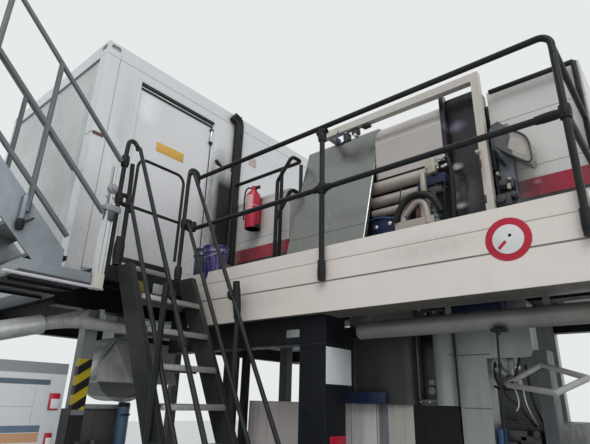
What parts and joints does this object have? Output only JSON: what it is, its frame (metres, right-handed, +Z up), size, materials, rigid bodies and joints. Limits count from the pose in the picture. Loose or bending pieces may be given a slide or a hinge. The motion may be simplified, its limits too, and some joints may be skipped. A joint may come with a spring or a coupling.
{
  "type": "flexographic printing press",
  "caption": "Printing press section with walkway, ship ladder, safety gate, stair and raised steel cabin.",
  "frame": {"origin": "centre of the underside of the walkway's front column foot", "axes": "+X along the walkway fascia to its free end, +Y into the press, +Z up"},
  "size_m": [6.718, 8.5003, 5.213],
  "materials": {
    "cabin_white": "semi-gloss off-white paint",
    "fascia_cream": "semi-gloss cream paint",
    "black_steel": "satin black paint",
    "grey_steel": "satin grey paint",
    "stair_steel": "blue-grey paint, worn",
    "grating": "galvanised grating",
    "cream_paint": "cream paint",
    "bare_steel": "polished steel sheet",
    "silver_sheet": "matt silver sheet",
    "rubber_black": "black rubber",
    "signal_red": "gloss red",
    "dark_machine": "dark grey machine paint",
    "drum_steel": "ground steel"
  },
  "bodies": {
    "root": {"air_pipes": "cream_paint", "arm_box": "cream_paint", "back_columns": "black_steel", "back_railing": "black_steel", "cabin_columns": "black_steel", "cabin_corner_posts": "cabin_white", "cabin_floor": "stair_steel", "cabin_roof": "cabin_white", "cabin_support_beams": "black_steel", "cabin_walls": "cabin_white", "cabin_wiring": "rubber_black", "cable_post": "cabin_white", "console": "cabin_white", "curved_hood": "silver_sheet", "dark_panels": "bare_steel", "door_frame": "cabin_white", "door_wall": "cabin_white", "drive_cover": "dark_machine", "drive_housing": "dark_machine", "end_cabinet": "cream_paint", "end_column": "grey_steel", "end_railing": "black_steel", "fan_housing": "silver_sheet", "fascia": "fascia_cream", "fire_extinguisher": "signal_red", "flexible_duct": "silver_sheet", "front_column": "black_steel", "front_panels": "cream_paint", "gantry": "cream_paint", "guard_panels": "grey_steel", "guide_cylinder": "grey_steel", "housing_frame": "black_steel", "impression_drum": "drum_steel", "ladder_handrails": "black_steel", "ladder_head_posts": "black_steel", "ladder_posts": "black_steel", "ladder_stringers": "black_steel", "ladder_treads": "grating", "landing_deck": "black_steel", "plate_cylinders": "drum_steel", "press_core": "dark_machine", "press_cross_beams": "black_steel", "railing_posts": "black_steel", "railing_rails": "black_steel", "side_frame_front": "grey_steel", "side_frame_rear": "grey_steel", "side_plate": "grey_steel", "stair_foot_landing": "stair_steel", "stair_rails": "stair_steel", "stair_stringers": "stair_steel", "stair_treads": "grating", "striped_housings": "cabin_white", "under_deck_duct": "grey_steel", "upper_landing": "stair_steel", "walkway_beams": "black_steel", "walkway_deck": "grating", "web_guide_frame": "grey_steel", "window_screen": "black_steel"},
    "door": {"cabin_door": "cabin_white"},
    "gate": {"safety_gate": "black_steel"}
  },
  "joints": [
    {"name": "door_hinge", "type": "hinge", "parent": "root", "child": "door", "pos_m": [-1.998, 0.275, 3.9], "axis": [0, 0, -1], "range_deg": [0, 90]},
    {"name": "gate_hinge", "type": "hinge", "parent": "root", "child": "gate", "pos_m": [-1.4, -0.921, 3.2], "axis": [0, 0, 1], "range_deg": [0, 90]}
  ]
}
